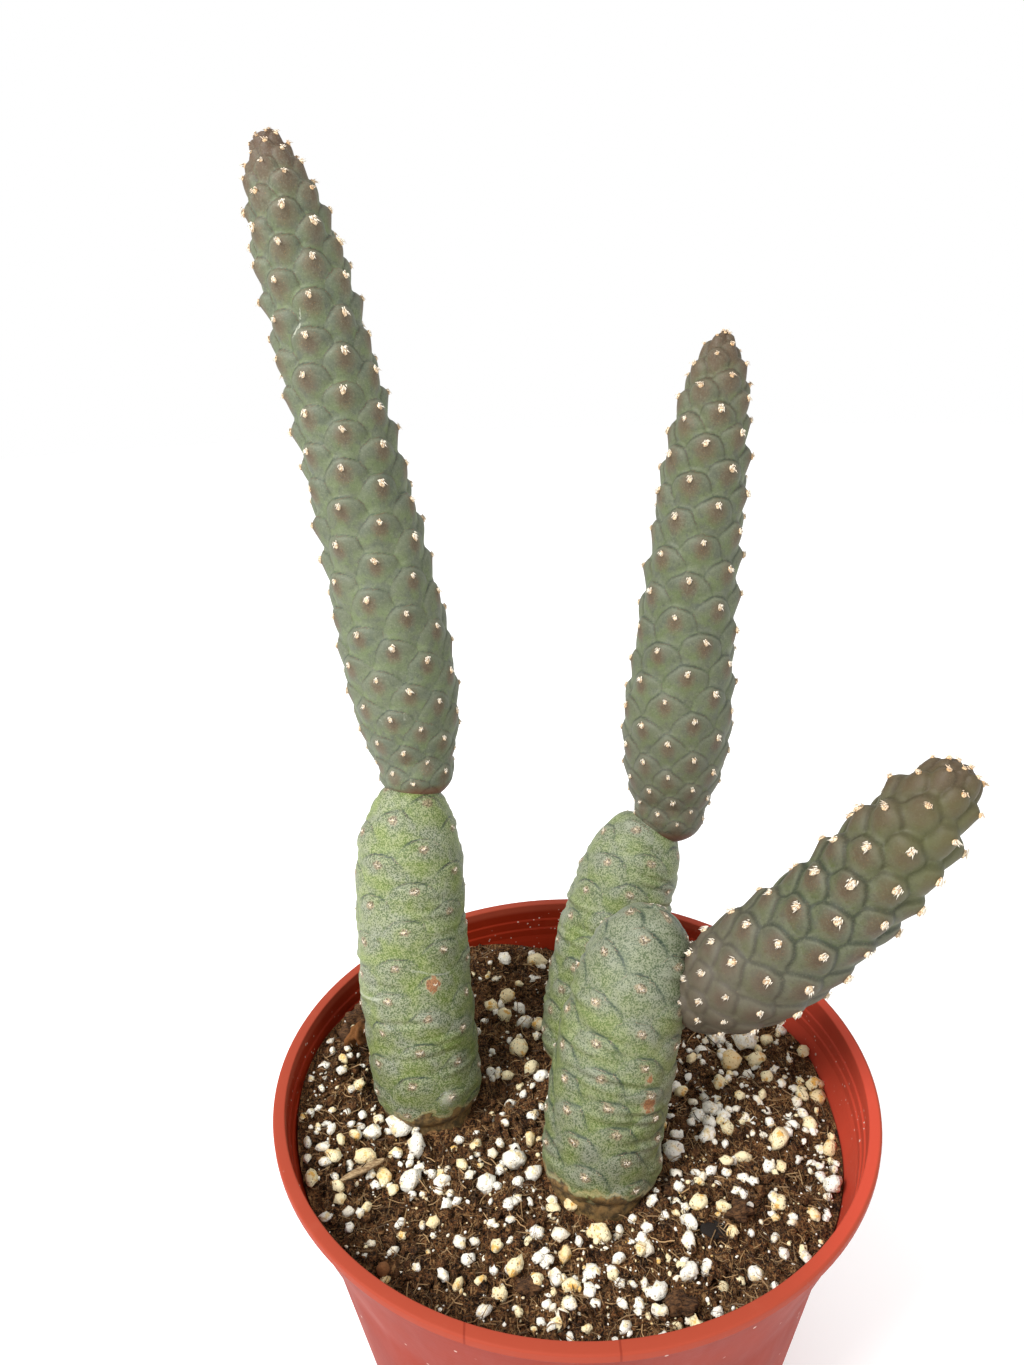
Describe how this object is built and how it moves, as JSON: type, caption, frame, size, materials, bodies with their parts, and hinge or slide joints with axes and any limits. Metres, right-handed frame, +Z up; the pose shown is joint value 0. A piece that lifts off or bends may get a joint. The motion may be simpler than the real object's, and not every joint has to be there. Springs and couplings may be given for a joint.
{
  "type": "potted pinecone cactus",
  "caption": "Jointed cactus with scaly, pinecone-like segments rising in leaning stems from gritty soil in a round flared plastic pot.",
  "frame": {"origin": "middle of the pot's flat foot, on the surface that the pot stands on", "axes": "+Z up along the pot's axis; the picture looks along +Y, so -Y is the front and +X is on its right"},
  "size_m": [0.1646, 0.1558, 0.3434],
  "materials": {
    "pot_plastic": "satin terracotta-red moulded plastic",
    "potting_mix": null,
    "old_growth": null,
    "new_growth": null
  },
  "bodies": {
    "root": {"pot": "pot_plastic", "soil": "potting_mix", "left_lower_segment": "old_growth", "back_lower_segment": "old_growth", "front_lower_segment": "old_growth", "left_upper_segment": "new_growth", "back_upper_segment": "new_growth", "front_upper_segment": "new_growth"}
  },
  "joints": []
}
